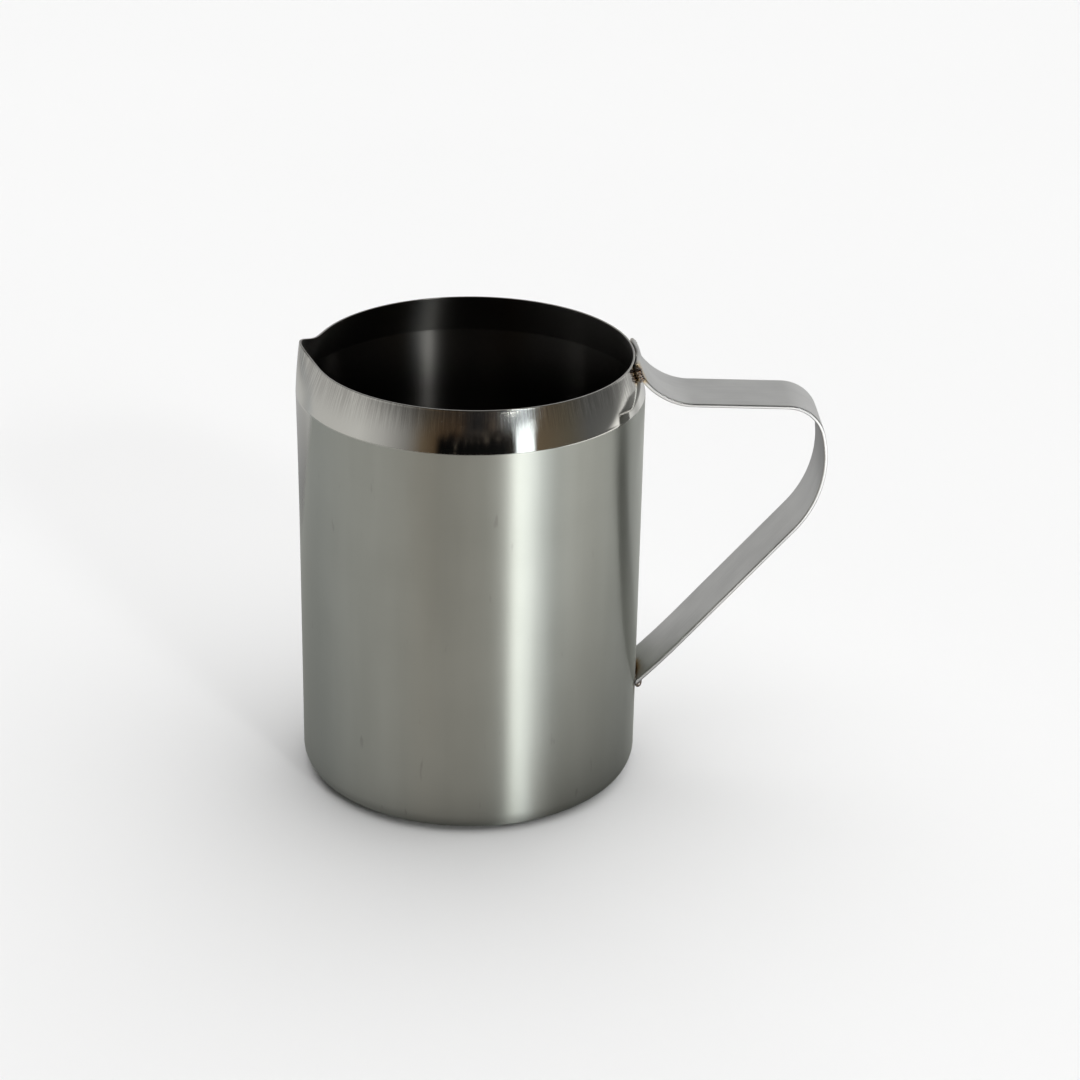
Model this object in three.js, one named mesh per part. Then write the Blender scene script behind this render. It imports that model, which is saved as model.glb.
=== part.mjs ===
// A small stainless steel pouring pot for melting wax. A straight-sided cup is drawn from one sheet,
// tapered in at the shoulder, and pressed out into a beak at the rim. A flat strap handle is welded on
// opposite the beak. Millimetres, +Z up. The origin is on the cup's axis, on the flat base. The beak points
// along -X, the handle along +X.
import * as THREE from "three";

// Cup: all radii and heights are of its outside. The crease is where the wall meets the shoulder.
const SHEET = 0.5;
const CREASE_RADIUS = 37.5;
const CREASE_HEIGHT = 88.8;
const CREASE_ROUNDING = 1.5;
const WALL_DRAFT = 0.2; // the base is this much less in radius than the crease
const CORNER_RADIUS = 4.5;
const SHOULDER_HEIGHT = 8.6;
const SHOULDER_TAPER = 2.5; // the rim is this much less in radius than the crease

// Beak: angles are measured round the cup's axis from the beak's middle.
const BEAK_REACH = 2.6;
const BEAK_RISE = 2.1;
const BEAK_SPREAD = THREE.MathUtils.degToRad(6.3);
const MOUTH_SQUEEZE = 0.75; // the mouth narrows by this towards the beak, so it is slightly egg-shaped
const FLUTE_DEPTH = 0.3; // the wall under the beak bulges by this, and fades down the flute's length
const FLUTE_SPREAD = THREE.MathUtils.degToRad(10);
const FLUTE_LENGTH = 36;

// Strap handle: lengths, radii and turns are of its middle line. A tilt is a slope below the horizontal.
const STRAP_WIDTH = 15.5;
const STRAP_THICKNESS = 0.8;
const TIP_PROUD = 0.2; // how far the strap's upper end stands above the rim
const FOOT_LENGTH = 1; // straight part that lies on the shoulder
const FOOT_BEND_RADIUS = 12.3;
const RUN_LENGTH = 20.3;
const RUN_TILT = THREE.MathUtils.degToRad(1.3);
const GRIP_BEND_RADIUS = 8.4;
const GRIP_BEND_TURN = THREE.MathUtils.degToRad(73);
const GRIP_SWEEP_RADIUS = 24.3;
const RETURN_TILT = THREE.MathUtils.degToRad(131.3); // over 90 degrees: back towards the wall
const CURL_REACH = 9; // the strap's ends are curled round the cup, and are flat this far from the wall

// Welds
const WELD_GAP = 0.3; // clearance between each bead, the strap and the cup
const BEAD_RADIUS = 0.6;
const UPPER_BEAD_LENGTH = 2.2; // between the centres of its round ends
const UPPER_BEAD_DROP = 2.2; // its middle below the rim
const LOWER_BEAD_INSET = 1.65; // from each edge of the strap to the bead's round end

// Smoothness
const ROUND_STEPS = 96;
const CORNER_STEPS = 5;
const CREASE_STEPS = 3;
const SHOULDER_STEPS = 4;
const FLUTE_STEPS = 5;
const ARC_STEP = THREE.MathUtils.degToRad(7);
const STRAP_STEPS = 8;

const SATIN_STEEL = { color: 0x8f918a, metalness: 1, roughness: 0.35 };
const STRAP_STEEL = { color: 0xa3a5a2, metalness: 1, roughness: 0.4 };
const WELD_STEEL = { color: 0x6e5844, metalness: 1, roughness: 0.45 };

const BASE_RADIUS = CREASE_RADIUS - WALL_DRAFT;
const WALL_SLOPE = WALL_DRAFT / CREASE_HEIGHT;
const RIM_RADIUS = CREASE_RADIUS - SHOULDER_TAPER;
const RIM_HEIGHT = CREASE_HEIGHT + SHOULDER_HEIGHT;
const SHOULDER_TILT = Math.atan2(SHOULDER_HEIGHT, SHOULDER_TAPER);

function piece(name, geometry, look) {
  const mesh = new THREE.Mesh(geometry, new THREE.MeshStandardMaterial(look));
  mesh.name = name;
  return mesh;
}

// Calls move(point) on every vertex of a geometry and keeps what it leaves in the point.
function reshape(geometry, move) {
  const positions = geometry.getAttribute("position");
  const point = new THREE.Vector3();
  for (let i = 0; i < positions.count; i += 1) {
    point.fromBufferAttribute(positions, i);
    move(point);
    positions.setXYZ(i, point.x, point.y, point.z);
  }
  return geometry;
}

// The outside of the cup at a height, away from the beak: a slightly drafted wall, then the shoulder's
// cone.
function outsideRadius(height) {
  if (height <= CREASE_HEIGHT) {
    return BASE_RADIUS + WALL_SLOPE * height;
  }
  return THREE.MathUtils.mapLinear(height, CREASE_HEIGHT, RIM_HEIGHT, CREASE_RADIUS, RIM_RADIUS);
}

// Half profile of the sheet: along the outside from the axis to the rim, and back along the inside to the
// axis.
function cupProfile() {
  const corner = new THREE.Vector2(BASE_RADIUS - CORNER_RADIUS, CORNER_RADIUS);
  const cornerArc = (radius) => {
    const arc = new THREE.EllipseCurve(corner.x, corner.y, radius, radius, -Math.PI / 2, 0);
    return arc.getPoints(CORNER_STEPS);
  };
  const outsideAt = (height) => new THREE.Vector2(outsideRadius(height), height);

  const creaseReach = CREASE_ROUNDING * Math.tan((Math.PI / 2 - SHOULDER_TILT) / 2);
  const crease = new THREE.QuadraticBezierCurve(
    outsideAt(CREASE_HEIGHT - creaseReach),
    outsideAt(CREASE_HEIGHT),
    outsideAt(CREASE_HEIGHT + creaseReach),
  );
  const side = [];
  for (let i = 0; i < FLUTE_STEPS; i += 1) {
    side.push(outsideAt(CREASE_HEIGHT - FLUTE_LENGTH * (1 - i / FLUTE_STEPS)));
  }
  side.push(...crease.getPoints(CREASE_STEPS));
  for (let i = 1; i <= SHOULDER_STEPS; i += 1) {
    side.push(outsideAt(THREE.MathUtils.lerp(CREASE_HEIGHT, RIM_HEIGHT, i / SHOULDER_STEPS)));
  }
  const inside = side.map((point) => new THREE.Vector2(point.x - SHEET, point.y));
  return [
    new THREE.Vector2(0, 0),
    ...cornerArc(CORNER_RADIUS),
    ...side,
    ...inside.reverse(),
    ...cornerArc(CORNER_RADIUS - SHEET).reverse(),
    new THREE.Vector2(0, SHEET),
  ];
}

const bell = (angle, spread) => Math.exp(-0.5 * (angle / spread) ** 2);

// Presses the beak: above the crease the rim is drawn out and up at the beak and in elsewhere, in
// proportion to the height on the shoulder. Below the crease only the flute is left, and it fades down the
// wall.
function pressBeak(point) {
  const angle = Math.atan2(point.y, -point.x);
  const shoulder = THREE.MathUtils.clamp((point.z - CREASE_HEIGHT) / SHOULDER_HEIGHT, 0, 1);
  const below = THREE.MathUtils.clamp((CREASE_HEIGHT - point.z) / FLUTE_LENGTH, 0, 1);
  const beak = bell(angle, BEAK_SPREAD);
  const squeeze = (MOUTH_SQUEEZE * (1 + Math.cos(angle))) / 2;
  const flute = FLUTE_DEPTH * bell(angle, FLUTE_SPREAD) * (1 - shoulder) * (1 - below) ** 2;
  const push = shoulder * (BEAK_REACH * beak - squeeze) + flute;
  const radius = Math.hypot(point.x, point.y);
  if (radius > 0) {
    point.x *= (radius + push) / radius;
    point.y *= (radius + push) / radius;
  }
  point.z += shoulder * BEAK_RISE * beak;
}

function potBody() {
  const cup = new THREE.LatheGeometry(cupProfile(), ROUND_STEPS).rotateX(Math.PI / 2);
  return piece("pot_body", reshape(cup, pressBeak), SATIN_STEEL);
}

// How far a point of the handle has to go along its heading to come to a weld gap off the wall.
function reachToWall({ x, z, heading }) {
  const toGo = outsideRadius(0) + WALL_SLOPE * z + WELD_GAP - x;
  return toGo / (Math.cos(heading) - WALL_SLOPE * Math.sin(heading));
}

// The strap's middle line from its upper end to the wall, as points with the direction they head in.
// Directions are angles above +X in the handle's plane, so they fall below zero along the strap.
function strapLine() {
  const footHeading = -SHOULDER_TILT;
  const standOff = WELD_GAP + STRAP_THICKNESS / 2;
  const tipHeight = RIM_HEIGHT + TIP_PROUD;
  const line = [
    {
      x: outsideRadius(tipHeight) + standOff / Math.sin(SHOULDER_TILT),
      z: tipHeight,
      heading: footHeading,
    },
  ];
  const last = () => line[line.length - 1];
  const straight = (length) => {
    const { x, z, heading } = last();
    line.push({ x: x + length * Math.cos(heading), z: z + length * Math.sin(heading), heading });
  };
  const bend = (radius, toHeading) => {
    const { x, z, heading } = last();
    const side = Math.sign(toHeading - heading);
    const steps = Math.ceil(Math.abs(toHeading - heading) / ARC_STEP);
    for (let i = 1; i <= steps; i += 1) {
      const angle = THREE.MathUtils.lerp(heading, toHeading, i / steps);
      line.push({
        x: x + side * radius * (Math.sin(angle) - Math.sin(heading)),
        z: z - side * radius * (Math.cos(angle) - Math.cos(heading)),
        heading: angle,
      });
    }
  };
  straight(FOOT_LENGTH);
  bend(FOOT_BEND_RADIUS, -RUN_TILT);
  straight(RUN_LENGTH);
  bend(GRIP_BEND_RADIUS, -RUN_TILT - GRIP_BEND_TURN);
  bend(GRIP_SWEEP_RADIUS, -RETURN_TILT);
  straight(reachToWall(last()));
  return line;
}

// One face of the strap in side view, at a distance to the left of the middle line. The lower end is cut
// along the wall, a weld gap off it.
function strapFace(line, distance) {
  const face = line.map(({ x, z, heading }) => {
    return new THREE.Vector2(x - distance * Math.sin(heading), z + distance * Math.cos(heading));
  });
  const end = face[face.length - 1];
  const heading = -RETURN_TILT;
  const reach = reachToWall({ x: end.x, z: end.y, heading });
  end.x += reach * Math.cos(heading);
  end.y += reach * Math.sin(heading);
  return face;
}

// Curls what lies near the cup round its curve: a point moves in by the sagitta of its distance from the
// handle's plane, in full at the wall and not at all past the curl's reach.
function curl(point) {
  const off = THREE.MathUtils.clamp((point.x - CREASE_RADIUS) / CURL_REACH, 0, 1);
  const radius = outsideRadius(point.z);
  const sagitta = radius - Math.sqrt(radius ** 2 - point.y ** 2);
  point.x -= sagitta * (1 - off) ** 2;
}

const handleLine = strapLine();
const outerFace = strapFace(handleLine, STRAP_THICKNESS / 2);
const innerFace = strapFace(handleLine, -STRAP_THICKNESS / 2);

function strapHandle() {
  const outline = new THREE.Shape([...outerFace, ...innerFace.reverse()]);
  const strap = new THREE.ExtrudeGeometry(outline, {
    depth: STRAP_WIDTH,
    steps: STRAP_STEPS,
    bevelEnabled: false,
  });
  strap.rotateX(Math.PI / 2).translate(0, STRAP_WIDTH / 2, 0);
  return piece("strap_handle", reshape(strap, curl), STRAP_STEEL);
}

const beadStandOff = WELD_GAP + BEAD_RADIUS;

// A bead beside the strap's upper end, leaning with the shoulder. side is -1 at the front, 1 at the back.
function upperBead(name, side) {
  const height = RIM_HEIGHT - UPPER_BEAD_DROP;
  const distance = outsideRadius(height) + beadStandOff / Math.sin(SHOULDER_TILT);
  const shape = new THREE.CapsuleGeometry(BEAD_RADIUS, UPPER_BEAD_LENGTH, 4, 12);
  shape.rotateX(Math.PI / 2).rotateY(SHOULDER_TILT - Math.PI / 2);
  const bead = piece(name, shape, WELD_STEEL);
  bead.position.set(distance, 0, height);
  const turned = new THREE.Group();
  turned.rotation.z = side * Math.asin((STRAP_WIDTH / 2 + beadStandOff) / distance);
  return turned.add(bead);
}

// The bead under the strap's lower end, curled along the wall.
function lowerBead() {
  const end = outerFace[outerFace.length - 1];
  const rise = Math.PI - RETURN_TILT;
  const drop = (beadStandOff - BEAD_RADIUS * Math.sin(rise)) / Math.cos(rise);
  const length = STRAP_WIDTH - 2 * (LOWER_BEAD_INSET + BEAD_RADIUS);
  const shape = new THREE.CapsuleGeometry(BEAD_RADIUS, length, 4, 12, STRAP_STEPS);
  shape.translate(end.x + BEAD_RADIUS, 0, end.y - drop);
  return piece("weld_lower", reshape(shape, curl), WELD_STEEL);
}

const pot = new THREE.Group();
pot.add(potBody(), strapHandle(), lowerBead());
pot.add(upperBead("weld_upper_front", -1), upperBead("weld_upper_back", 1));

export default pot;
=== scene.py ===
# %% [markdown]
# # A steel melting pot
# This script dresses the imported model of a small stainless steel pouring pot. The frame gives every piece its
# place. Steel shows little colour of its own and mostly mirrors what stands round it, so the lesson is about two
# things: the exact bend of the sheet, and the studio that the sheet reflects.

# %% Load the frame
from math import atan2, cos, pi, radians, sin, sqrt, tan

import bpy
import numpy as np
from mathutils import Matrix, Vector


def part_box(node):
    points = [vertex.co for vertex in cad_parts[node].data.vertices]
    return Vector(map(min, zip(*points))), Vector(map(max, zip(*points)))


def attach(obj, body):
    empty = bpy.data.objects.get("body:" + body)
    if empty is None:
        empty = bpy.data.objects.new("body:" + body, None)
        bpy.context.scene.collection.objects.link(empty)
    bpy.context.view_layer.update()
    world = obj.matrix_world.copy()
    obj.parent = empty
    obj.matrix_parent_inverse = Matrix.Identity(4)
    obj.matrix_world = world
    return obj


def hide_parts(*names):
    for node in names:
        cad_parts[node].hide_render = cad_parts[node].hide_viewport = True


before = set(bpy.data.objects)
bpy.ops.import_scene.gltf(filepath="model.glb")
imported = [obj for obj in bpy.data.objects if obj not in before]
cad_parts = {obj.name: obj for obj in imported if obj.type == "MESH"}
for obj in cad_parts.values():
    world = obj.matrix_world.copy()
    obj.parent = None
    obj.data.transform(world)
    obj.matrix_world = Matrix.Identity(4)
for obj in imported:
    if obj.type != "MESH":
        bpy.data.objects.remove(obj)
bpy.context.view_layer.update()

MM = 0.001
print("nodes in the frame:", sorted(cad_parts))

# %% [markdown]
# ## Camera
# A long lens from about 0.6 m keeps the pot's sides nearly parallel. The camera looks at a point on the pot's
# axis, and three small turns then set the pot left of the middle, which leaves room for the handle. The camera is
# turned where lens shift would also do, because a turned camera carries nothing over to other views.

# %% Camera
CAMERA_DISTANCE = 640.9 * MM
CAMERA_ELEVATION = radians(25.053)
CAMERA_TURN = radians(1.4)
AIM_HEIGHT = 45 * MM
LENS = 96.33
PAN_RIGHT = radians(1.382)
TILT_UP = radians(0.652)
ROLL = radians(0.439)


def make_camera():
    """Stands the camera on a circle round the aim point, then turns it about its own up, right and back axes."""
    level = cos(CAMERA_ELEVATION)
    back = Vector((-level * sin(CAMERA_TURN), -level * cos(CAMERA_TURN), sin(CAMERA_ELEVATION)))
    right = Vector((0, 0, 1)).cross(back).normalized()
    axes = Matrix((right, back.cross(right), back)).transposed()
    axes = Matrix.Rotation(-PAN_RIGHT, 3, axes.col[1]) @ axes
    axes = Matrix.Rotation(TILT_UP, 3, axes.col[0]) @ axes
    axes = Matrix.Rotation(ROLL, 3, axes.col[2]) @ axes
    camera = bpy.data.objects.new("camera", bpy.data.cameras.new("camera"))
    camera.data.lens = LENS
    place = back * CAMERA_DISTANCE + Vector((0, 0, AIM_HEIGHT))
    camera.matrix_world = Matrix.Translation(place) @ axes.to_4x4()
    bpy.context.scene.collection.objects.link(camera)
    bpy.context.scene.camera = camera
    return camera


camera = make_camera()
print("camera at", [round(value, 3) for value in camera.matrix_world.translation])

# %% [markdown]
# ## One way to turn a grid of points into a closed mesh
# Every piece here is a surface of two parameters: round the piece, and along it. Spin or a bevelled curve could
# draw some of them, but a grid of points worked out as one array keeps exact control of the beak and the bends.
# The grid's two end rows close on a single point each, so a piece has no seam and no hole.

# %% Mesh from a grid
SMOOTH_ANGLE = radians(35)


def closed_mesh(name, rings, start, end, attributes=None):
    """A mesh from rings[row, column] = (x, y, z) in millimetres, each ring closed on itself. Quads join ring to
    ring, and triangles join the outer rings to the start and end points. The signed volume, a sixth of the sum
    over the faces of a . (b x c), tells whether the faces have to be turned round to point outwards."""
    rows, columns = rings.shape[:2]
    points = np.vstack([rings.reshape(-1, 3), [start], [end]]) * MM
    index = np.arange(rows * columns).reshape(rows, columns)
    after = np.roll(index, -1, axis=1)
    quads = np.stack([index[:-1], after[:-1], after[1:], index[1:]], axis=-1).reshape(-1, 4)
    pole = np.full(columns, rows * columns)
    fans = np.vstack([np.stack([pole, after[0], index[0]], axis=-1),
                      np.stack([pole + 1, index[-1], after[-1]], axis=-1)])
    triangles = np.vstack([quads[:, [0, 1, 2]], quads[:, [0, 2, 3]], fans])
    a, b, c = (points[triangles[:, corner]] for corner in range(3))
    volume = np.sum(a * np.cross(b, c)) / 6
    if volume < 0:
        quads, fans = quads[:, ::-1], fans[:, ::-1]
    mesh = bpy.data.meshes.new(name)
    mesh.from_pydata(points, [], quads.tolist() + fans.tolist())
    for key, values in (attributes or {}).items():
        spread = np.broadcast_to(np.asarray(values, float)[:, None], (rows, columns)).ravel()
        layer = mesh.attributes.new(key, "FLOAT", "POINT")
        layer.data.foreach_set("value", np.concatenate([spread, [values[0], values[-1]]]).astype(np.float32))
    mesh.shade_smooth()
    mesh.set_sharp_from_angle(angle=SMOOTH_ANGLE)
    print(f"{name}: {len(triangles)} triangles, {abs(volume) / MM ** 3:.0f} cubic millimetres")
    return mesh


# %% [markdown]
# ## From a mesh to a piece of the pot
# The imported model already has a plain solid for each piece. A finer mesh takes the solid's place in the picture,
# while the solid stays behind for collisions. The pot has no joint, so every piece rides on its one body.

# %% Dress a piece


def dress(mesh, material, node, slot):
    """Makes the object of a mesh, stands it in for its node and lets it ride with the pot."""
    mesh.materials.append(material)
    made = bpy.data.objects.new(mesh.name, mesh)
    bpy.context.scene.collection.objects.link(made)
    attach(made, "root")
    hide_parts(node)
    print(f"{made.name} stands in for {node}, finish {slot}")
    return made


# %% [markdown]
# ## Shader maths in plain Python
# A finish is mostly arithmetic on places: how high, how far round, how near a weld. The class below wraps a
# socket so that such sums are written as sums, and each sign adds one Math node.

# %% Sums on sockets


class Wire:
    """A socket that carries a number or a vector. Arithmetic on it adds Math nodes."""

    def __init__(self, tree, socket):
        self.tree = tree
        self.socket = socket

    def math(self, operation, *others):
        return self.tree.node("ShaderNodeMath", {"operation": operation}, [self, *others])

    def __add__(self, other):
        return self.math("ADD", other)

    def __sub__(self, other):
        return self.math("SUBTRACT", other)

    def __rsub__(self, other):
        return self * -1 + other

    def __mul__(self, other):
        return self.math("MULTIPLY", other)

    def __truediv__(self, other):
        return self.math("DIVIDE", other)

    def __rtruediv__(self, other):
        return self ** -1 * other

    def __pow__(self, other):
        return self.math("POWER", other)

    __radd__ = __add__
    __rmul__ = __mul__

    def smooth(self, low, high):
        """0 below low, 1 above high, and a smooth step between."""
        inputs = {"Value": self, "From Min": low, "From Max": high}
        return self.tree.node("ShaderNodeMapRange", {"interpolation_type": "SMOOTHSTEP"}, inputs)

    def band(self, low, high, soft):
        """1 between low and high, with edges that are soft wide."""
        return self.smooth(low - soft, low) * (1 - self.smooth(high, high + soft))


# %% [markdown]
# ## One method for every node
# Everything that isn't a sum comes from one method, which takes a node's type, its settings and its inputs. The
# short methods after it are the few combinations that every finish here needs: a place, a noise, a blend of two
# colours. Noise is scaled axis by axis, because brushed steel has patterns much longer one way than the other.

# %% Nodes


class Nodes:
    """A node tree that starts empty, for a material, a light or the world."""

    def __init__(self, owner):
        owner.use_nodes = True
        self.owner = owner
        self.tree = owner.node_tree
        self.tree.nodes.clear()

    def node(self, kind, settings=None, inputs=None, output=0):
        """Adds a node: settings first, then its inputs by name or in order, each a value or a wire."""
        made = self.tree.nodes.new(kind)
        for key, value in (settings or {}).items():
            if key == "stops":
                ramp = made.color_ramp.elements
                for position, colour in value[1:-1]:
                    ramp.new(position).color = colour
                ramp[0].position, ramp[0].color = value[0]
                ramp[-1].position, ramp[-1].color = value[-1]
            else:
                setattr(made, key, value)
        for key, value in inputs.items() if isinstance(inputs, dict) else enumerate(inputs or []):
            if isinstance(value, Wire):
                self.tree.links.new(value.socket, made.inputs[key])
            else:
                made.inputs[key].default_value = value
        return Wire(self, made.outputs[output])

    def scaled(self, vector, scale):
        """A vector multiplied by another, axis by axis."""
        return self.node("ShaderNodeVectorMath", {"operation": "MULTIPLY"}, [vector, scale])

    def joined(self, x, y, z):
        """A vector from three numbers."""
        return self.node("ShaderNodeCombineXYZ", None, [x, y, z])

    def parts(self, vector):
        """The three numbers of a vector."""
        return (self.node("ShaderNodeSeparateXYZ", None, [vector], axis) for axis in range(3))

    def place(self):
        """The Object coordinates in millimetres: the vector, then x, y and z."""
        here = self.node("ShaderNodeTexCoord", output="Object")
        vector = self.scaled(here, (1 / MM, 1 / MM, 1 / MM))
        return vector, *self.parts(vector)

    def noise(self, vector, scale, detail=2.0, roughness=0.5):
        """Noise about 0.5 that repeats about scale times per unit along x, y and z."""
        inputs = {"Vector": self.scaled(vector, scale), "Scale": 1.0, "Detail": detail, "Roughness": roughness}
        return self.node("ShaderNodeTexNoise", None, inputs)

    def attribute(self, name):
        return self.node("ShaderNodeAttribute", {"attribute_name": name}, output="Fac")

    def blend(self, amount, low, high):
        """A colour between two colours."""
        return self.node("ShaderNodeMix", {"data_type": "RGBA"}, {0: amount, 6: low, 7: high}, 2)

    def bump(self, height, strength, depth):
        """A normal that leans as a relief of the given height would, depth in millimetres."""
        return self.node("ShaderNodeBump", None, {"Strength": strength, "Distance": depth * MM, "Height": height})

    def ramp(self, amount, stops):
        return self.node("ShaderNodeValToRGB", {"stops": stops}, [amount])

    def mixed(self, amount, one, other):
        return self.node("ShaderNodeMixShader", None, [amount, one, other])

    def show(self, shader, kind="ShaderNodeOutputMaterial"):
        out = self.tree.nodes.new(kind)
        self.tree.links.new(shader.socket, out.inputs["Surface"])
        print(f"{self.owner.name}: {len(self.tree.nodes)} nodes")
        return self.owner


# %% [markdown]
# ## Colours
# Blender's colours are linear and have a fourth number, alpha. Metals are nearly grey, so most colours here are a
# grey with a little warmth.

# %% Colours


def rgb(red, green, blue):
    return (red, green, blue, 1.0)


def grey(value, warmth=0.0):
    """A linear grey whose red is warmth more, and blue warmth less, than its green."""
    return rgb(value * (1 + warmth), value, value * (1 - warmth))


print("a warm grey:", grey(0.5, 0.04))

# %% [markdown]
# ## The sheet
# The cup is drawn from one sheet 0.5 mm thick. Its outside runs up a nearly straight wall, turns in at a crisp
# crease, and follows the shoulder to the rim. The beak is pressed out of the shoulder. These are the same sizes as
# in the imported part, in millimetres, and the largest of them are read from it.

# %% Sizes of the sheet
pot_low, pot_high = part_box("pot_body")
SHEET = 0.5
CREASE_RADIUS = pot_high[1] / MM
CREASE_HEIGHT = 88.8
WALL_DRAFT = 0.2
CORNER_RADIUS = 4.5
SHOULDER_HEIGHT = 8.6
SHOULDER_TAPER = 2.5
RIM_HEIGHT = CREASE_HEIGHT + SHOULDER_HEIGHT
print(f"pot {2 * CREASE_RADIUS:.1f} mm across, rim at {RIM_HEIGHT:.1f} mm")

# %% [markdown]
# ## Side of the cup
# A drawn wall isn't a perfect tube: it opens by a fraction of a millimetre towards the top, so that it comes off
# its tool. The crease is a bend and not an edge, and the shoulder bulges slightly. Both matter, because a mirror
# shows an angle far better than a shape. The rows lie closer where the beak will bend them.

# %% Side profile
CREASE_REACH = 0.3
SHOULDER_CROWN = 0.12
RIM_ROUNDING = 0.12
FLUTE_LENGTH = 36.0
LOW_ROWS, FLUTE_ROWS, CREASE_ROWS, SHOULDER_ROWS = 16, 40, 9, 26


def outside_radius(height):
    """The cup's radius away from the beak: the draft grows evenly up the wall, and the shoulder tapers evenly."""
    wall = CREASE_RADIUS - WALL_DRAFT * (1 - height / CREASE_HEIGHT)
    shoulder = CREASE_RADIUS - SHOULDER_TAPER * (height - CREASE_HEIGHT) / SHOULDER_HEIGHT
    return np.where(height <= CREASE_HEIGHT, wall, shoulder)


def side_profile():
    """(radius, height) from the top of the base corner to the rim. The crease is a quadratic curve between two
    points at CREASE_REACH from it, and the shoulder bulges by a parabola of its share of the way up."""
    low, high = CREASE_HEIGHT - CREASE_REACH, CREASE_HEIGHT + CREASE_REACH
    flute_foot = CREASE_HEIGHT - FLUTE_LENGTH
    wall = np.concatenate([np.linspace(CORNER_RADIUS, flute_foot, LOW_ROWS, endpoint=False),
                           np.linspace(flute_foot, low, FLUTE_ROWS)])
    t = np.linspace(0, 1, CREASE_ROWS)[1:-1]
    first, middle, last = (1 - t) ** 2, 2 * t * (1 - t), t ** 2
    bend_height = first * low + middle * CREASE_HEIGHT + last * high
    bend_radius = first * outside_radius(low) + middle * CREASE_RADIUS + last * outside_radius(high)
    shoulder = np.linspace(high, RIM_HEIGHT - RIM_ROUNDING, SHOULDER_ROWS)
    share = (shoulder - high) / SHOULDER_HEIGHT
    crown = SHOULDER_CROWN * 4 * share * (1 - share)
    radius = np.concatenate([outside_radius(wall), bend_radius, outside_radius(shoulder) + crown])
    return np.stack([radius, np.concatenate([wall, bend_height, shoulder])], axis=-1)


print("side profile:", len(side_profile()), "rows")

# %% [markdown]
# ## Whole cup
# A Solidify modifier could give the sheet its thickness, but the rim would then be a plain cut. Here the profile
# goes up the outside, round the sheet's edge and back down the inside. The edge has a flat land between two small
# roundings, and the land catches the thin bright line that runs round a bare rim.

# %% Cup profile
CORNER_ROWS, FLAT_ROWS, RIM_ROWS = 16, 8, 5


def cup_profile():
    """(radius, height) along the outside from near the axis to the rim, round its edge, and back inside. The base
    corner is a quarter circle, and its inside is the same quarter circle less the sheet's thickness."""
    turn = np.linspace(-pi / 2, 0, CORNER_ROWS)
    arc = np.stack([np.cos(turn), np.sin(turn)], axis=-1)
    centre = np.array([float(outside_radius(0.0)) - CORNER_RADIUS, CORNER_RADIUS])
    flat = np.linspace(1, centre[0], FLAT_ROWS)[:-1]
    side = side_profile()
    edge_turn = np.linspace(0, pi / 2, RIM_ROWS)
    corner = RIM_ROUNDING * np.stack([np.cos(edge_turn) - 1, np.sin(edge_turn)], axis=-1)
    edge = side[-1] + np.vstack([corner[1:], corner[:0:-1] * (-1, 1) - (SHEET, 0)])
    outside = np.vstack([np.stack([flat, 0 * flat], axis=-1), (centre + CORNER_RADIUS * arc)[:-1], side])
    inside = np.vstack([np.stack([flat, 0 * flat + SHEET], axis=-1),
                        (centre + (CORNER_RADIUS - SHEET) * arc)[:-1], side - (SHEET, 0)])
    over_edge = np.linspace(0, 1, len(edge) + 2)[1:-1]
    is_inside = np.concatenate([np.zeros(len(outside)), over_edge, np.ones(len(inside))])
    return np.vstack([outside, edge, inside[::-1]]), is_inside


print("cup profile:", len(cup_profile()[0]), "rows")

# %% [markdown]
# ## Beak
# The beak is pressed into the finished cup, so it is made here in the same way: as a push on the turned shape. A
# bell curve of the angle from the beak gives the smooth way in and out. Under the crease the press leaves a wide
# shallow flute, which leads the wax to the beak.

# %% Pressing the beak
BEAK_REACH = 2.6
BEAK_RISE = pot_high[2] / MM - RIM_HEIGHT
BEAK_SPREAD = radians(6.3)
MOUTH_SQUEEZE = 0.75
FLUTE_DEPTH = 0.3
FLUTE_SPREAD = radians(10)


def bell(angle, spread):
    """A bell curve: e to the power of minus half the square of angle over spread."""
    return np.exp(-0.5 * (angle / spread) ** 2)


def press_beak(radius, height, angle):
    """Radius and height after pressing, for an angle measured from the beak. On the shoulder the sheet moves out
    and up by a bell of the angle, less the mouth's squeeze, in proportion to the share of the way up. Under the
    crease a wider, shallow bell is left, and it fades as the square of what is left of the flute's length."""
    up = np.clip((height - CREASE_HEIGHT) / SHOULDER_HEIGHT, 0, 1)
    down = np.clip((CREASE_HEIGHT - height) / FLUTE_LENGTH, 0, 1)
    beak = bell(angle, BEAK_SPREAD)
    squeeze = MOUTH_SQUEEZE * (1 + np.cos(angle)) / 2
    flute = FLUTE_DEPTH * bell(angle, FLUTE_SPREAD) * (1 - up) * (1 - down) ** 2
    return radius + up * (BEAK_REACH * beak - squeeze) + flute, height + up * BEAK_RISE * beak


print(f"beak {BEAK_RISE:.1f} mm above the rim")

# %% [markdown]
# ## Mesh of the cup
# The profile is turned round the axis in many columns, because each column is a flat facet that a mirror would
# show. Two attributes go with the mesh: which side of the sheet a point is on, and how far along the profile it
# is. The finish reads them, so it needs no seam.

# %% Pot mesh
COLUMNS = 320


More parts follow.
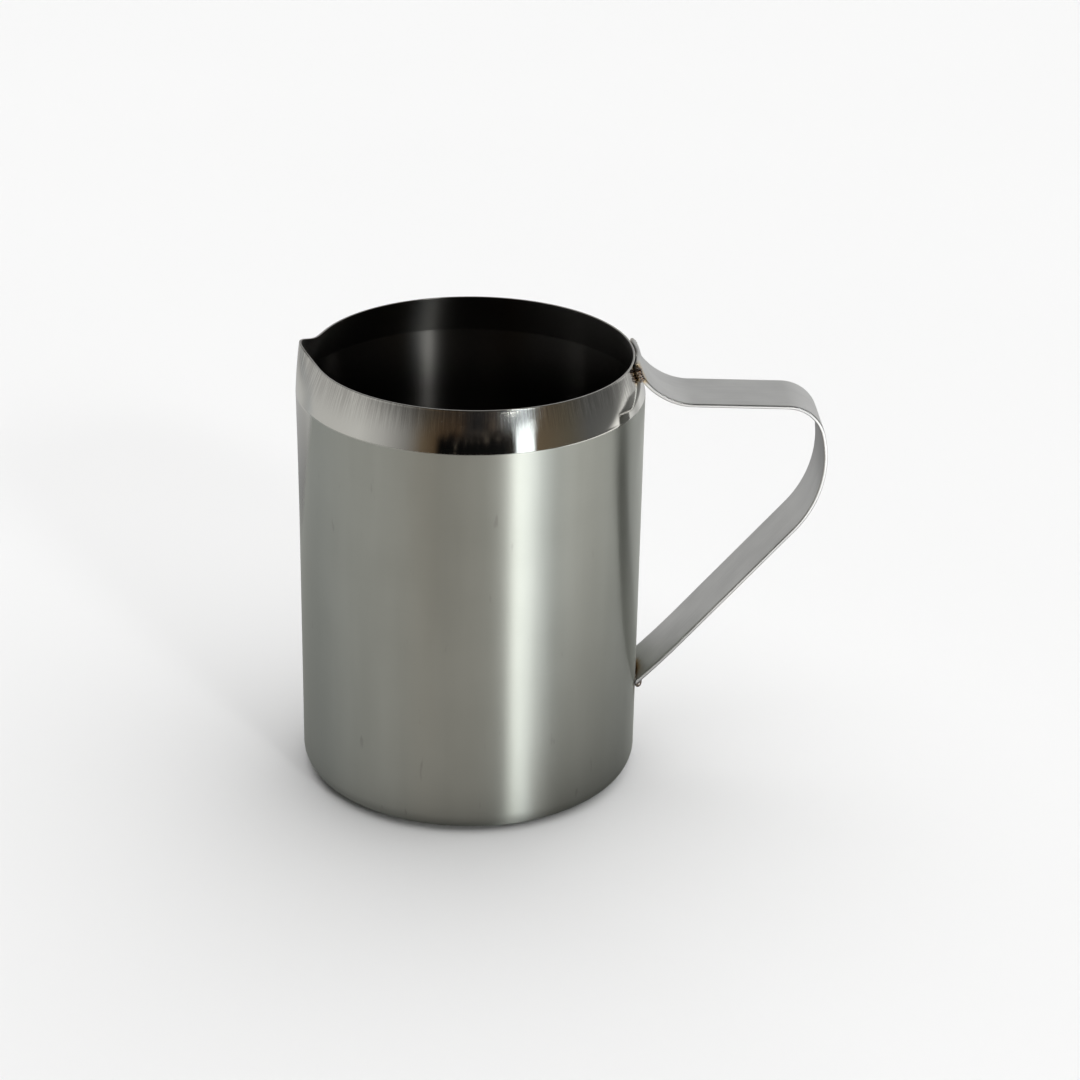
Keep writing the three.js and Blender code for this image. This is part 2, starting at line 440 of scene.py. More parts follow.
def pot_mesh():
    """Turns the profile round the axis, pressing the beak, which points along -X."""
    profile, is_inside = cup_profile()
    angle = np.linspace(-pi, pi, COLUMNS, endpoint=False)[None, :]
    radius, height = press_beak(profile[:, :1], profile[:, 1:], angle)
    height = np.broadcast_to(height, radius.shape)
    rings = np.stack([-radius * np.cos(angle), radius * np.sin(angle), height], axis=-1)
    steps = np.hypot(*np.diff(profile, axis=0).T)
    along = np.concatenate([[0], np.cumsum(steps)])
    return closed_mesh("pot", rings, (0, 0, 0), (0, 0, SHEET), {"inside": is_inside, "along": along})


cup = pot_mesh()

# %% [markdown]
# ## Steel
# Stainless sheet comes with a satin finish: fine lines, all brushed one way. The lines blur a reflection across
# themselves and leave it sharp along them, so a window turns into a tall bright streak on the wall. Anisotropy
# does this without drawing a line. A quarter turn of it sets the blur upright.

# %% Steel colours
SATIN = rgb(0.592, 0.61, 0.556)
SATIN_DEEP = rgb(0.556, 0.574, 0.52)
POLISHED = rgb(0.66, 0.655, 0.61)
SCORED = rgb(0.36, 0.35, 0.325)
# Painted shade: the inside of the cup is darker than its steel, and darkest deep down.
SHADED_INSIDE = rgb(0.26, 0.25, 0.235)
DEEP_SHADED_INSIDE = rgb(0.10, 0.095, 0.09)
BLUR_UPRIGHT = 0.25


def metal(steel, colour, roughness, normal, blur=None):
    """A metal surface. With blur, a share of a full turn, its reflections are drawn out in that direction."""
    inputs = {"Base Color": colour, "Metallic": 1.0, "Roughness": roughness, "Normal": normal}
    if blur is not None:
        inputs |= {"Anisotropic": 1.0, "Anisotropic Rotation": blur}
    return steel.node("ShaderNodeBsdfPrincipled", None, inputs)


print("satin:", SATIN, "polished:", POLISHED)

# %% [markdown]
# ## Heat tint
# A weld heats the steel round it, which leaves a thin oxide: straw where it was warm, brown where it was hot. The
# tint depends only on the distance from the weld, with a little noise so that its edge isn't a circle.

# %% Heat tint
STRAW = rgb(0.52, 0.38, 0.18)
BROWN = rgb(0.17, 0.085, 0.04)
UPPER_WELD = (36.0, 8.7, 95.2)
LOWER_WELD = (38.2, 0.0, 19.9)
RAGGED_PER_MM = 1.2


def heat_tint(steel, vector, colour, centre, stretch, reach):
    """Blends a steel colour to straw and then to brown. The distance from the weld is stretched axis by axis, and
    noise makes it ragged. Straw fades out between half the reach and the whole of it, and brown closer in."""
    offset = steel.node("ShaderNodeVectorMath", {"operation": "SUBTRACT"}, [vector, centre])
    distance = steel.node("ShaderNodeVectorMath", {"operation": "LENGTH"}, [steel.scaled(offset, stretch)], 1)
    ragged = distance + (steel.noise(vector, (RAGGED_PER_MM,) * 3) - 0.5) * (reach * 0.5)
    colour = steel.blend((1 - ragged.smooth(reach * 0.5, reach)) * 0.8, colour, STRAW)
    return steel.blend((1 - ragged.smooth(reach * 0.15, reach * 0.6)) * 0.9, colour, BROWN)


def both_sides(steel, x, y, z):
    """The place with y made positive, so that one centre stands for the two upper welds."""
    return steel.joined(x, y.math("ABSOLUTE"), z)


print("heat tint round", UPPER_WELD, "and", LOWER_WELD)

# %% [markdown]
# ## Satin wall and dull inside
# Handling leaves soft upright smears on a brushed wall, faint clouds, and here and there a small dark mark. They
# hardly change its colour but they do change how it blurs, so the same patterns feed both. The facing vector is
# x and y over the radius. It gives a pattern's place round the cup and keeps smears upright on the tapered parts.
# The inside's colour is painted shade: darker than the wall, and darker still further down in the cup.

# %% Satin finishes
LINES_SCALE = (0.03, 0.03, 9)
SMEARS_SCALE = (4.5, 4.5, 0.012)
CLOUDS_SCALE = (0.06, 0.06, 0.06)
MARKS_SCALE = (0.5, 0.5, 0.14)
MARKS_FROM, MARKS_FULL, MARKS_STRENGTH = 0.7, 0.8, 0.4
SATIN_ROUGHNESS = 0.4
INSIDE_ROUGHNESS = 0.31
# The depths below the rim between which the inside's painted shade deepens.
DEEP_SHADE_ENDS_BELOW_RIM, DEEP_SHADE_FULL_BELOW_RIM = 12, 24


def satin_finishes(steel, vector, x, y, z, facing):
    """The wall's surface and the inside's, which share their patterns. The inside's colour is painted shade."""
    brushed = steel.joined(x, y, steel.attribute("along"))
    lines = steel.noise(brushed, LINES_SCALE, detail=3, roughness=0.6)
    smears = steel.noise(facing, SMEARS_SCALE, detail=3)
    clouds = steel.noise(vector, CLOUDS_SCALE, detail=4)
    relief = steel.bump(lines, 0.08, 0.01)
    uneven = (smears - 0.5) * 0.05 + (clouds - 0.5) * 0.03
    tone = steel.blend((smears * 0.55 + clouds * 0.3 + lines * 0.15).smooth(0.35, 0.65), SATIN, SATIN_DEEP)
    marks = steel.noise(vector, MARKS_SCALE, detail=2).smooth(MARKS_FROM, MARKS_FULL)
    tone = steel.blend(marks * MARKS_STRENGTH, tone, SCORED)
    tone = heat_tint(steel, vector, tone, LOWER_WELD, (1, 0.45, 1), 4.0)
    wall = metal(steel, tone, uneven + SATIN_ROUGHNESS, relief, BLUR_UPRIGHT)
    # Painted shade inside the cup, deepest far below the rim.
    light = z.smooth(RIM_HEIGHT - DEEP_SHADE_FULL_BELOW_RIM, RIM_HEIGHT - DEEP_SHADE_ENDS_BELOW_RIM)
    inside_shade = steel.blend(light, DEEP_SHADED_INSIDE, SHADED_INSIDE)
    return wall, metal(steel, inside_shade, uneven + INSIDE_ROUGHNESS, relief, BLUR_UPRIGHT)


print("smears about", round(CREASE_RADIUS / SMEARS_SCALE[0]), "mm wide")

# %% [markdown]
# ## Polished shoulder
# The shoulder and the tongue under the beak were rubbed bright when they were formed, so they mirror clearly. Fine
# upright scratches cross the shoulder, deeper and duller towards the rim, where a cup is knocked and wiped.

# %% Polished finish
SCRATCHES_SCALE = (110, 110, 0.12)
POLISHED_ROUGHNESS = 0.07
ROUGHER_AT_RIM = 0.05
SCORED_SHARE = 0.75


def polished_finish(steel, x, y, z, facing):
    """The shoulder's surface. Its scratches are noise on the facing vector, so each one runs upright."""
    near_rim = z.smooth(CREASE_HEIGHT + 1, RIM_HEIGHT)
    scratches = steel.noise(facing, SCRATCHES_SCALE, detail=4, roughness=0.7)
    relief = steel.bump(scratches * (0.08 + near_rim * 0.7), 0.5, 0.04)
    tone = steel.blend(near_rim * scratches.smooth(0.3, 0.62) * SCORED_SHARE, POLISHED, SCORED)
    tone = heat_tint(steel, both_sides(steel, x, y, z), tone, UPPER_WELD, (1, 1, 0.8), 2.6)
    rough = POLISHED_ROUGHNESS + near_rim * ROUGHER_AT_RIM + (scratches - 0.5) * 0.08
    return metal(steel, tone, rough, relief)


print("scratches about", round(CREASE_RADIUS / SCRATCHES_SCALE[0], 2), "mm wide")

# %% [markdown]
# ## Pot material
# One material covers the cup and mixes the three finishes by place. An attribute tells the inside from the
# outside. The height and the angle from the beak give the shoulder and the tongue, which narrows downwards.

# %% Pot material
TONGUE_HALF = radians(25)
TONGUE_NARROWS = radians(15)
TONGUE_EDGE = 0.03
TONGUE_FADES = 0.45


def pot_steel():
    """Mixes the wall with the polish where a point is on the shoulder or in the tongue, then with the inside. The
    tongue is the angle from the beak less a half width that shrinks with the share of the flute's length."""
    steel = Nodes(bpy.data.materials.new("pot_steel"))
    vector, x, y, z = steel.place()
    radius = (x * x + y * y) ** 0.5
    facing = steel.joined(x / radius, y / radius, z)
    wall, inside = satin_finishes(steel, vector, x, y, z, facing)
    polished = polished_finish(steel, x, y, z, facing)
    on_shoulder = z.smooth(CREASE_HEIGHT - 0.2, CREASE_HEIGHT + 0.2)
    down = (CREASE_HEIGHT - z) / FLUTE_LENGTH
    angle = y.math("ARCTAN2", x * -1).math("ABSOLUTE")
    past_edge = angle + down * TONGUE_NARROWS - TONGUE_HALF
    tongue = (1 - past_edge.smooth(-TONGUE_EDGE, TONGUE_EDGE)) * (1 - down.smooth(TONGUE_FADES, 1.0))
    outside = steel.mixed(on_shoulder.math("MAXIMUM", tongue), wall, polished)
    return steel.show(steel.mixed(steel.attribute("inside").smooth(0.4, 0.6), outside, inside))


dress(cup, pot_steel(), "pot_body", "satin_steel")

# %% [markdown]
# ## Strap handle
# The handle is one flat strap. It lies on the shoulder with a short foot, bends out to a level run, turns down
# through the grip and comes back to the wall on a slant. Its middle line is known once its direction is known
# along its length: the direction is constant on the straights and changes evenly on the bends.

# %% Strap path
STRAP_THICKNESS = 0.8
TIP_PROUD = 0.2
FOOT_LENGTH = 1.0
FOOT_BEND_RADIUS = 12.3
RUN_LENGTH = 20.3
RUN_TILT = radians(1.3)
GRIP_BEND_RADIUS = 8.4
GRIP_BEND_TURN = radians(73)
GRIP_SWEEP_RADIUS = 24.3
RETURN_TILT = radians(131.3)
WELD_GAP = 0.3
SHOULDER_TILT = atan2(SHOULDER_HEIGHT, SHOULDER_TAPER)
STRAP_STEP = 0.25


def strap_path():
    """Middle line as arrays: length so far, x, z and heading. The heading is interpolated between the ends of the
    straights and bends, and the place is the running sum of its cosine and sine. A first walk ends with the last
    bend. The slanted return is then as long as it takes to come back to the wall."""
    tilts = -np.array([SHOULDER_TILT, SHOULDER_TILT, RUN_TILT, RUN_TILT, RUN_TILT + GRIP_BEND_TURN, RETURN_TILT])
    turns = np.abs(np.diff(tilts))
    lengths = turns * [0, FOOT_BEND_RADIUS, 0, GRIP_BEND_RADIUS, GRIP_SWEEP_RADIUS]
    lengths += [FOOT_LENGTH, 0, RUN_LENGTH, 0, 0]
    knots = np.concatenate([[0], np.cumsum(lengths)])
    tip_height = RIM_HEIGHT + TIP_PROUD
    tip_x = float(outside_radius(tip_height)) + (WELD_GAP + STRAP_THICKNESS / 2) / sin(SHOULDER_TILT)

    def walk(total):
        edges = np.linspace(0, total, int(total / STRAP_STEP) + 1)
        middle = np.interp((edges[1:] + edges[:-1]) / 2, knots, tilts)
        step = np.diff(edges)
        x = tip_x + np.concatenate([[0], np.cumsum(step * np.cos(middle))])
        z = tip_height + np.concatenate([[0], np.cumsum(step * np.sin(middle))])
        return edges, x, z, np.interp(edges, knots, tilts)

    last_bend_x = walk(knots[-1])[1][-1]
    back_to_wall = (float(outside_radius(0.0)) + WELD_GAP - last_bend_x) / cos(RETURN_TILT)
    return walk(knots[-1] + back_to_wall)


strap_edges, strap_x, strap_z, strap_heading = strap_path()
print(f"strap {strap_edges[-1]:.1f} mm long, lower end {strap_z[-1]:.1f} mm up")

# %% [markdown]
# ## Section of the strap
# The strap was sheared from sheet and tumbled, so its edges are rounded a little. A swept rectangle with rounded
# corners gives the thin bright line that such an edge catches. A Bevel modifier would do the same, but here the
# ends have to follow the curl of the wall first.

# %% Strap section
STRAP_WIDTH = 15.5
EDGE_ROUNDING = 0.28
ACROSS_STEPS = 20
CORNER_STEPS = 5


def strap_section():
    """(across, through) round a rectangle with quarter-circle corners, closed on itself."""
    half = np.array([STRAP_WIDTH, STRAP_THICKNESS]) / 2 - EDGE_ROUNDING
    turn = np.linspace(0, pi / 2, CORNER_STEPS)
    arc = EDGE_ROUNDING * np.stack([np.cos(turn), np.sin(turn)], axis=-1)
    across = np.linspace(half[0], -half[0], ACROSS_STEPS)[1:-1, None] * (1, 0)
    face = across + (0, STRAP_THICKNESS / 2)
    upper = np.vstack([half + arc, face, (half + arc[::-1]) * (-1, 1)])
    return np.vstack([upper, -upper])


print("strap section:", len(strap_section()), "points")

# %% [markdown]
# ## Strap ends
# A flat strap touches a round wall only along one line, so both ends are curled to the wall before they are
# welded. The upper end is cut square, and the lower end is cut along the wall, which makes its cut upright. The
# cut edges are rounded by letting the section shrink over the last fraction of a millimetre.

# %% Strap mesh
CURL_REACH = 9.0
CUT_BLEND = 6.0


def curl(points):
    """Moves points near the wall in by the sagitta of their distance from the handle's plane, R less the root of
    R squared less y squared, times the square of what is left of the curl's reach."""
    x, y, z = np.moveaxis(points, -1, 0)
    off = np.clip((x - CREASE_RADIUS) / CURL_REACH, 0, 1)
    radius = outside_radius(z)
    sagitta = radius - np.sqrt(radius ** 2 - y ** 2)
    return np.stack([x - sagitta * (1 - off) ** 2, y, z], axis=-1)


def strap_mesh():
    """Carries the section along the path. Near the lower end each point slides along the strap by its distance
    from the middle line times the tangent of the heading, which turns the square end into an upright one."""
    across, through = strap_section().T[:, None, :]
    to_end = strap_edges[-1] - strap_edges
    missing = np.clip(EDGE_ROUNDING - np.minimum(strap_edges, to_end), 0, EDGE_ROUNDING)
    inset = (EDGE_ROUNDING - np.sqrt(EDGE_ROUNDING ** 2 - missing ** 2))[:, None]
    across = np.sign(across) * np.maximum(np.abs(across) - inset, 0)
    through = np.sign(through) * np.maximum(np.abs(through) - inset, 0)
    x, z, heading = (values[:, None] for values in (strap_x, strap_z, strap_heading))
    share = np.clip(1 - to_end / CUT_BLEND, 0, 1)[:, None]
    slide = through * tan(-RETURN_TILT) * share ** 2
    points = curl(np.stack([x - through * np.sin(heading) + slide * np.cos(heading), across + 0 * x,
                            z + through * np.cos(heading) + slide * np.sin(heading)], axis=-1))
    middle = [curl(np.array([strap_x[end], 0, strap_z[end]])) for end in (0, -1)]
    return closed_mesh("strap", points, *middle, {"along": strap_edges})


handle = strap_mesh()

# %% [markdown]
# ## Strap finish
# The strap's lines run along its length. Its own direction changes at each bend, so the pattern reads the length
# along the strap from an attribute. It is a little duller and bluer than the cup, with faint handling marks.

# %% Strap material
STRAP = rgb(0.62, 0.62, 0.605)
STRAP_DEEP = rgb(0.56, 0.56, 0.55)
STRAP_ROUGHNESS = 0.34
STRAP_LINES_SCALE = (0.06, 4, 1)


def strap_steel():
    """Lines along the strap, broad blotches and small dents, each a noise at its own scale."""
    steel = Nodes(bpy.data.materials.new("strap_steel"))
    vector, x, y, z = steel.place()
    lengthwise = steel.joined(steel.attribute("along"), y, 0.0)
    lines = steel.noise(lengthwise, STRAP_LINES_SCALE, detail=3, roughness=0.6)
    blotches = steel.noise(vector, (0.12, 0.2, 0.12), detail=3)
    dents = steel.noise(vector, (0.35, 0.35, 0.35), detail=2)
    tone = steel.blend((lines * 0.6 + blotches * 0.4).smooth(0.35, 0.65), STRAP, STRAP_DEEP)
    tone = heat_tint(steel, both_sides(steel, x, y, z), tone, UPPER_WELD, (1, 0.8, 0.7), 2.8)
    tone = heat_tint(steel, vector, tone, LOWER_WELD, (1, 0.45, 1), 3.2)
    rough = STRAP_ROUGHNESS + (blotches - 0.5) * 0.1 + (lines - 0.5) * 0.06
    return steel.show(metal(steel, tone, rough, steel.bump(lines * 0.5 + dents, 0.25, 0.03)))


dress(handle, strap_steel(), "strap_handle", "strap_steel")

# %% [markdown]
# ## Weld beads
# The strap is joined by short beads laid in small steps, which leave ripples like fish scales. A bead is a rod
# that follows the joint, with round ends, a ripple along it and a lumpy edge. It may sink into the steel on both
# sides, as real weld metal does.

# %% Bead mesh
BEAD_RADIUS = 0.72
RIPPLE_LENGTH = 0.55
RIPPLE_DEPTH = 0.1
LONG_LUMPS, ROUND_LUMPS = 0.09, 0.06
BEAD_ROWS, BEAD_COLUMNS = 72, 24


def bead_mesh(name, start, end, bulge, seed):
    """A rod from start to end, pushed sideways by a parabola of height bulge. Its radius is that of a round-ended
    bar, times one plus a ripple, plus two slow waves whose phases come from the seed."""
    start, end, bulge = (np.array(value, float) for value in (start, end, bulge))
    length = np.linalg.norm(end - start)
    turn = np.linspace(0, pi, BEAD_ROWS + 2)[1:-1, None]
    share = (1 - np.cos(turn)) / 2
    full = np.clip(np.minimum(share, 1 - share) * length / BEAD_RADIUS, 0, 1)
    radius = BEAD_RADIUS * np.sqrt(1 - (1 - full) ** 2)
    around = np.linspace(0, 2 * pi, BEAD_COLUMNS, endpoint=False)[None, :]
    ripple = RIPPLE_DEPTH * np.sin(2 * pi * share * length / RIPPLE_LENGTH + np.sin(around))
    lumps = (LONG_LUMPS * np.sin(3 * share * length + seed)
             + ROUND_LUMPS * np.sin(2 * around + 5 * share + seed * 2))
    radius = (radius * (1 + ripple + lumps))[..., None]
    line = start + (end - start) * share[..., None] + bulge * (4 * share * (1 - share))[..., None]
    forward = (end - start) / length
    side = np.cross(forward, (0.3, 0.2, 0.9) if abs(forward[2]) < 0.7 else (1, 0, 0))
    side /= np.linalg.norm(side)
    other = np.cross(forward, side)
    points = line + radius * (np.cos(around)[..., None] * side + np.sin(around)[..., None] * other)
    return closed_mesh(name, points, start, end)


print(f"beads {2 * BEAD_RADIUS:.1f} mm thick, a ripple every {RIPPLE_LENGTH} mm")

# %% [markdown]
# ## Weld metal
# Weld metal that wasn't cleaned afterwards is brown, grey and in places blue. Grain noise alone chooses between
# the three, and the same grain roughens the surface.

# %% Weld material
WELD = rgb(0.42, 0.38, 0.34)
WELD_BLUE = rgb(0.25, 0.26, 0.34)
GRAIN_PER_MM = 2.5


def weld_metal():
    """Brown below the middle of the grain noise, grey above it and blue at its top."""
    steel = Nodes(bpy.data.materials.new("weld_metal"))
    grain = steel.noise(steel.place()[0], (GRAIN_PER_MM,) * 3, detail=4)
    tone = steel.blend(grain.smooth(0.35, 0.55), BROWN, WELD)
    tone = steel.blend(grain.smooth(0.55, 0.75) * 0.6, tone, WELD_BLUE)
    return steel.show(metal(steel, tone, 0.3 + (grain - 0.5) * 0.3, steel.bump(grain, 0.4, 0.05)))


weld_material = weld_metal()

# %% [markdown]
# ## Upper beads
# The two upper beads run up the strap's edges, on the slope of the shoulder. Each bead's ends come from the box of
# the solid that it stands in for, leaned by the shoulder's taper.

# %% Upper beads


def weld_box(node):
    """A node's lowest and highest corner in millimetres."""
    return (np.array(corner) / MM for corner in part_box(node))


for seed, node in ((-1, "weld_upper_front"), (1, "weld_upper_back")):
    low, high = weld_box(node)
    middle = (low + high) / 2
    lean = (high[2] - low[2]) / 2 * SHOULDER_TAPER / SHOULDER_HEIGHT
    foot = (middle[0] + lean, middle[1], low[2])
    head = (middle[0] - lean, middle[1], high[2])
    bead = bead_mesh(node.replace("weld", "bead"), foot, head, (0, 0, 0), seed)
    dress(bead, weld_material, node, "weld_metal")

# %% [markdown]
# ## Lower bead
# The lower bead lies in the corner under the strap and bulges out with the round wall, by the sagitta of the
# strap's width.

# %% Lower bead
LOWER_SEED = 2.0
low, high = weld_box("weld_lower")
bead_x = high[0] - BEAD_RADIUS
sagitta = bead_x - sqrt(bead_x ** 2 - high[1] ** 2)
ends = [(bead_x - sagitta, y, (low[2] + high[2]) / 2) for y in (low[1], high[1])]
bead = bead_mesh("bead_lower", *ends, (sagitta, 0, 0), LOWER_SEED)
dress(bead, weld_material, "weld_lower", "weld_metal")

# %% [markdown]
# ## The room that the steel mirrors
# Steel is lit by what it reflects. A room built of boxes and lamps would be slow to tune, so the room is a set of
# colours by compass direction, on ramps. One ramp holds the lower part of the room and another the part above a
# shelf. In this room there are dark things low down in front, light walls to the left and a dim side to the right.

# %% Room


def around(stops):
    """Ramp stops from (degrees from the camera's side towards +X, colour)."""
    return [((degrees + 180) / 360, colour) for degrees, colour in stops]


ROOM = around([
    (-180, grey(0.54)), (-100, grey(0.62, 0.01)), (-78, grey(0.66, 0.01)), (-60, grey(0.49, 0.01)),
    (-44, grey(0.26, 0.03)), (-33, rgb(0.145, 0.11, 0.075)), (-25, rgb(0.09, 0.06, 0.035)),
    (-22, grey(0.003)), (20, grey(0.006)), (27, rgb(0.03, 0.024, 0.018)), (41, rgb(0.15, 0.11, 0.07)),
    (64, rgb(0.12, 0.105, 0.08)), (80, grey(0.115)), (104, grey(0.15)), (122, grey(0.3)), (150, grey(0.8)),
    (180, grey(0.54))])
ROOM_ABOVE = around([
    (-180, grey(0.54)), (-125, grey(0.5, 0.01)), (-78, grey(0.5, 0.01)), (-60, grey(0.42, 0.01)),
    (-44, grey(0.26, 0.03)), (-31, rgb(0.145, 0.11, 0.075)), (-22, rgb(0.11, 0.068, 0.037)),
    (-8, rgb(0.085, 0.052, 0.027)), (-5, rgb(0.007, 0.008, 0.01)), (8, rgb(0.007, 0.008, 0.01)),
    (11, rgb(0.085, 0.056, 0.034)), (16, rgb(0.11, 0.085, 0.065)), (20, rgb(0.24, 0.26, 0.29)),
    (28, rgb(0.36, 0.39, 0.43)), (39, rgb(0.15, 0.10, 0.06)), (50, rgb(0.12, 0.09, 0.065)),
    (60, grey(0.11, 0.04)), (80, grey(0.115)), (104, grey(0.15)), (122, grey(0.3)), (150, grey(0.8)),
    (180, grey(0.54))])
print("room:", len(ROOM), "directions low down,", len(ROOM_ABOVE), "above")

# %% [markdown]
# ## World
# The camera sees one plain pale tone, and every other ray sees the room. Its ceiling is dark, and comes lower in
# front than behind. The top of the dark things is ragged and catches a few glints. The window is one upright strip
# with a dimmer upper half, and a small strong lamp stands above it. They draw the bright patch on the shoulder and
# the glow inside the cup.

# %% World
CEILING = grey(0.035, 0.04)
CEILING_IN_FRONT = (11, 26)
CEILING_BEHIND = (45, 75)
BEHIND = (125, 150)
SHELF_TOP = (13.4, 14.8)
SHELF_RAGGED = 17
GLINT = rgb(0.36, 0.3, 0.24)
GLINT_TURN, GLINT_FADE, GLINT_RISE = (-22, 52, 2), (-30, 15), (12.2, 14.2, 1.0)
LAMP = rgb(36, 36.6, 36)
LAMP_TURN, LAMP_RISE = (27.4, 32.2, 2), (20, 27, 3)
WINDOW_LOW = rgb(1.9, 2.05, 2.15)
WINDOW_HIGH = rgb(0.7, 0.78, 0.86)
WINDOW_TURN, WINDOW_RISE, WINDOW_DIMS = (28.5, 38, 2.5), (-4, 20, 6), (12.8, 14)
SEEN_BACKDROP = grey(0.955)
DEGREES = 180 / pi


def studio_world():
    """The room by two angles in degrees: turn, from the camera's side towards +X, and rise, above the horizon."""
    world = bpy.data.worlds.new("studio")
    bpy.context.scene.world = world
    sky = Nodes(world)
    direction = sky.node("ShaderNodeTexCoord", output="Generated")
    x, y, z = sky.parts(direction)
    turn = x.math("ARCTAN2", y * -1) * DEGREES
    rise = z.math("ARCSINE") * DEGREES
    share = (turn + 180) / 360
    ragged = rise + (sky.noise(direction, (36, 36, 3), detail=4, roughness=0.75) - 0.5) * SHELF_RAGGED
    room = sky.blend(ragged.smooth(*SHELF_TOP), sky.ramp(share, ROOM), sky.ramp(share, ROOM_ABOVE))
    behind = turn.math("ABSOLUTE").smooth(*BEHIND)
    ceiling = rise.smooth(*CEILING_IN_FRONT) * (1 - behind) + rise.smooth(*CEILING_BEHIND) * behind
    room = sky.blend(ceiling, room, CEILING)
    glints = sky.noise(direction, (75, 75, 9), detail=2).smooth(0.56, 0.66) * ragged.band(*GLINT_RISE)
    room = sky.blend(glints * turn.band(*GLINT_TURN) * turn.smooth(*GLINT_FADE), room, GLINT)
    room = sky.blend(turn.band(*LAMP_TURN) * rise.band(*LAMP_RISE), room, LAMP)
    window = sky.blend(rise.smooth(*WINDOW_DIMS), WINDOW_LOW, WINDOW_HIGH)
    room = sky.blend(turn.band(*WINDOW_TURN) * rise.band(*WINDOW_RISE), room, window)
    seen = sky.node("ShaderNodeLightPath", output="Is Camera Ray")
    lit = sky.node("ShaderNodeBackground", None, {"Color": room, "Strength": 1.0})
    plain = sky.node("ShaderNodeBackground", None, {"Color": SEEN_BACKDROP, "Strength": 1.0})
    sky.show(sky.mixed(seen, lit, plain), "ShaderNodeOutputWorld")


studio_world()

# %% [markdown]
# ## Two floors
# The wall of the pot leans over a table, and half of what it mirrors is that table. A white floor would fill the
# steel with white. So there are two sheets at nearly the same place: a plain pale one that takes shadows and shows
# in no reflection, and a glowing one with painted light and shade that shows in nothing but reflections.

# %% Pale floor
FLOOR_HALF = 4.0
FLOOR_DOWN = 0.2 * MM
MIRRORED_DOWN = 0.1 * MM
WHITE_FLOOR = grey(0.86)
WHITE_FLOOR_DEEP = grey(0.84)


def floor_sheet(name, material, down):
    """A square sheet a little under the pot's base."""
    corners = [(x * FLOOR_HALF, y * FLOOR_HALF, -down) for x, y in ((-1, -1), (1, -1), (1, 1), (-1, 1))]
    mesh = bpy.data.meshes.new(name)
    mesh.from_pydata(corners, [], [(0, 1, 2, 3)])
    mesh.materials.append(material)
    sheet = bpy.data.objects.new(name, mesh)
    bpy.context.scene.collection.objects.link(sheet)
    return sheet


def pale_floor():
    paint = Nodes(bpy.data.materials.new("pale_floor"))
    clouds = paint.noise(paint.place()[0], (0.004, 0.004, 0.004))
    tone = paint.blend(clouds, WHITE_FLOOR, WHITE_FLOOR_DEEP)
    return paint.show(paint.node("ShaderNodeBsdfPrincipled", None, {
        "Base Color": tone, "Roughness": 0.9, "Specular IOR Level": 0.1}))


floor = floor_sheet("floor", pale_floor(), FLOOR_DOWN)
floor.visible_glossy = False

# %% [markdown]
# ## Table in the reflections
# The table is a painted glow whose tone depends on the direction and on the distance. A painted pool of window
# light in one direction draws the streak on the wall. A painted shadow of the pot darkens it near its foot, and
# far away it ends at the room. Close to the pot, the direction from the pot's axis isn't the direction in which
# the wall mirrors. The two are brought together by adding the turn times the wall's radius over the distance,
# which keeps the streak upright.

# %% Mirrored floor
# Painted light: the table's glow by direction, brightest where the window would light it.
TABLE_GLOW = around([
    (-180, grey(0.3)), (-156, grey(0.2)), (-131, grey(0.5, -0.02)), (-60, grey(0.87, 0.04)),
    (-30, grey(0.85, 0.06)), (-3, grey(0.94, 0.05)), (11, grey(1.15, 0.04)), (19, grey(1.4, 0.03)),
    (26, grey(1.8, 0.02)), (32, grey(2.3, 0.01)), (41, grey(4.6, -0.01)), (48, grey(3.7, -0.04)),
    (56, grey(2.2, -0.03)), (66, grey(1.75)), (80, grey(1.5, 0.02)), (98, grey(1.35, 0.02)),
    (122, grey(1.0)), (138, grey(0.5)), (158, grey(0.4)), (180, grey(0.3))])
# Near the foot the glow is darker, as painted shade, with the window's painted light still in it.
TABLE_GLOW_AT_FOOT = around([
    (-180, grey(0.12)), (-131, grey(0.26, -0.03)), (-60, grey(0.5, 0.03)), (-3, grey(0.55, 0.05)),
    (17, grey(0.5, 0.03)), (28, grey(0.35, 0.01)), (40, grey(1.15, -0.01)), (48, grey(0.65, 0.02)),
    (64, grey(0.3, 0.02)), (96, grey(0.24, 0.02)), (180, grey(0.2))])
# The painted shadow right at the pot's foot.
FOOT_SHADE = grey(0.06)
FOOT_TO_TABLE, FOOT_SHADE_FADES = (24, 290), (34, 56)
ENDS_IN_FRONT, ENDS_BEHIND, ENDS_ALL_ROUND = (380, 700), (130, 300), (800, 1400)
FRONT_TURN, BEHIND_TURN = (-70, 55, 12), (130, 150)


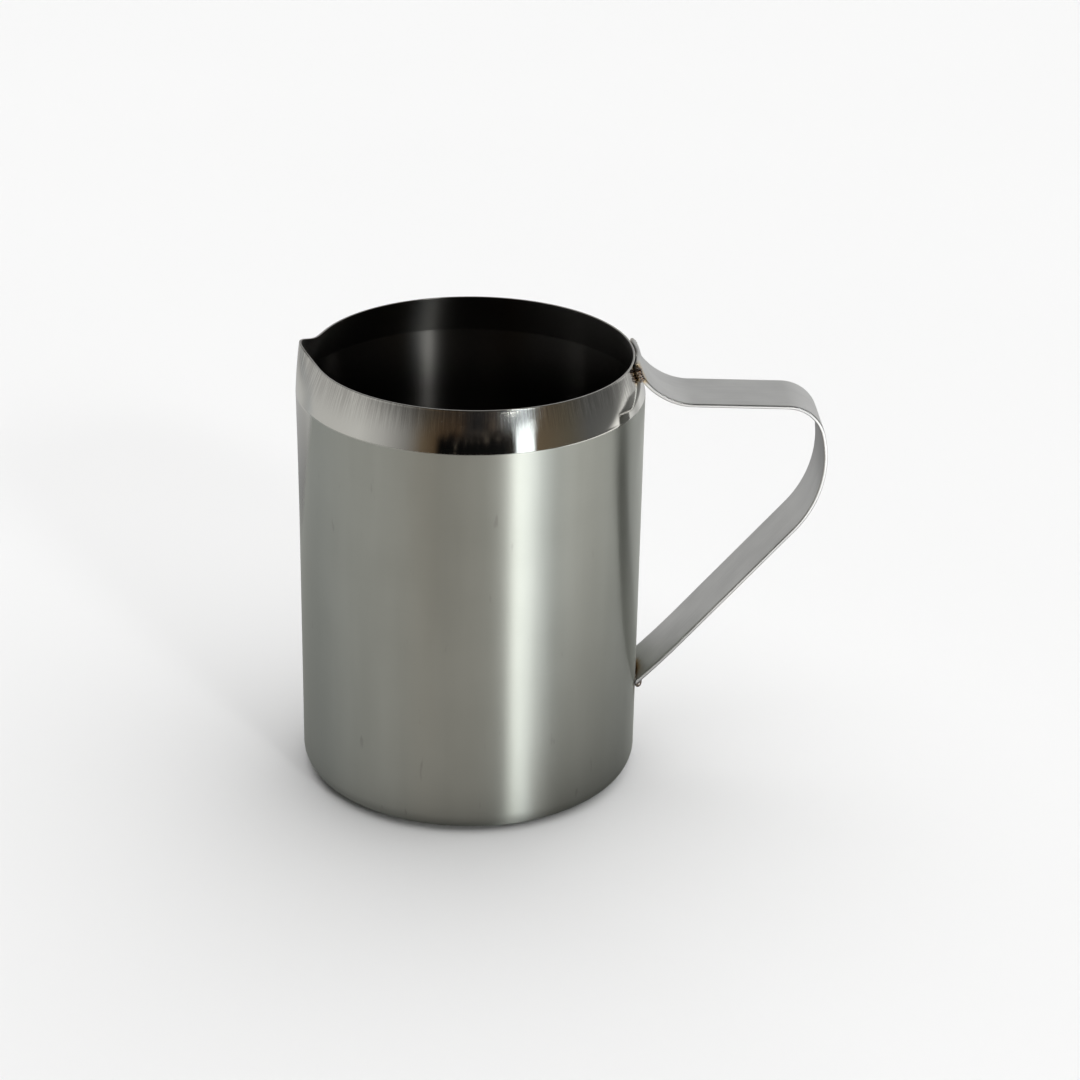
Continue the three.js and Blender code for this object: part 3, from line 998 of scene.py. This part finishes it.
def mirrored_floor():
    """The glow by turn and by distance from the pot's axis in millimetres. Three masks bring in the room where the
    table ends: in front, behind and all round."""
    paint = Nodes(bpy.data.materials.new("mirrored_floor"))
    vector, x, y, z = paint.place()
    away = (x * x + y * y) ** 0.5
    turn = x.math("ARCTAN2", y * -1) * DEGREES * (CREASE_RADIUS / away + 1)
    share = (turn + 180) / 360
    tone = paint.blend(away.smooth(*FOOT_TO_TABLE), paint.ramp(share, TABLE_GLOW_AT_FOOT), paint.ramp(share, TABLE_GLOW))
    # A painted shadow close to the pot's foot.
    tone = paint.blend(away.smooth(*FOOT_SHADE_FADES), FOOT_SHADE, tone)
    in_front = away.smooth(*ENDS_IN_FRONT) * turn.band(*FRONT_TURN)
    behind = away.smooth(*ENDS_BEHIND) * turn.math("ABSOLUTE").smooth(*BEHIND_TURN)
    past_end = in_front.math("MAXIMUM", away.smooth(*ENDS_ALL_ROUND)).math("MAXIMUM", behind)
    tone = paint.blend(past_end, tone, paint.ramp(share, ROOM))
    return paint.show(paint.node("ShaderNodeEmission", None, {"Color": tone, "Strength": 1.0}))


mirrored = floor_sheet("mirrored_floor", mirrored_floor(), MIRRORED_DOWN)
mirrored.data.materials[0].cycles.emission_sampling = "NONE"
for kind in ("camera", "diffuse", "shadow", "transmission"):
    setattr(mirrored, "visible_" + kind, False)

# %% [markdown]
# ## Light
# One very wide sun stands for a studio's big soft boxes and gives the floor a soft contact shadow. It is hidden
# from reflections, where the room already holds the lights. The Standard view keeps pale tones as they are set.

# %% Soft light
SUN_STRENGTH = 3.04
SUN_WIDTH = radians(110)
SUN_SIDEWAYS, SUN_BACKWARDS = radians(18), radians(-12)

sun = bpy.data.objects.new("soft_light", bpy.data.lights.new("soft_light", "SUN"))
sun.data.energy = SUN_STRENGTH
sun.data.angle = SUN_WIDTH
sun.visible_glossy = False
sun.matrix_world = Matrix.Rotation(SUN_SIDEWAYS, 4, "Y") @ Matrix.Rotation(SUN_BACKWARDS, 4, "X")
bpy.context.scene.collection.objects.link(sun)
bpy.context.scene.view_settings.view_transform = "Standard"
print("soft light:", sun.data.energy)
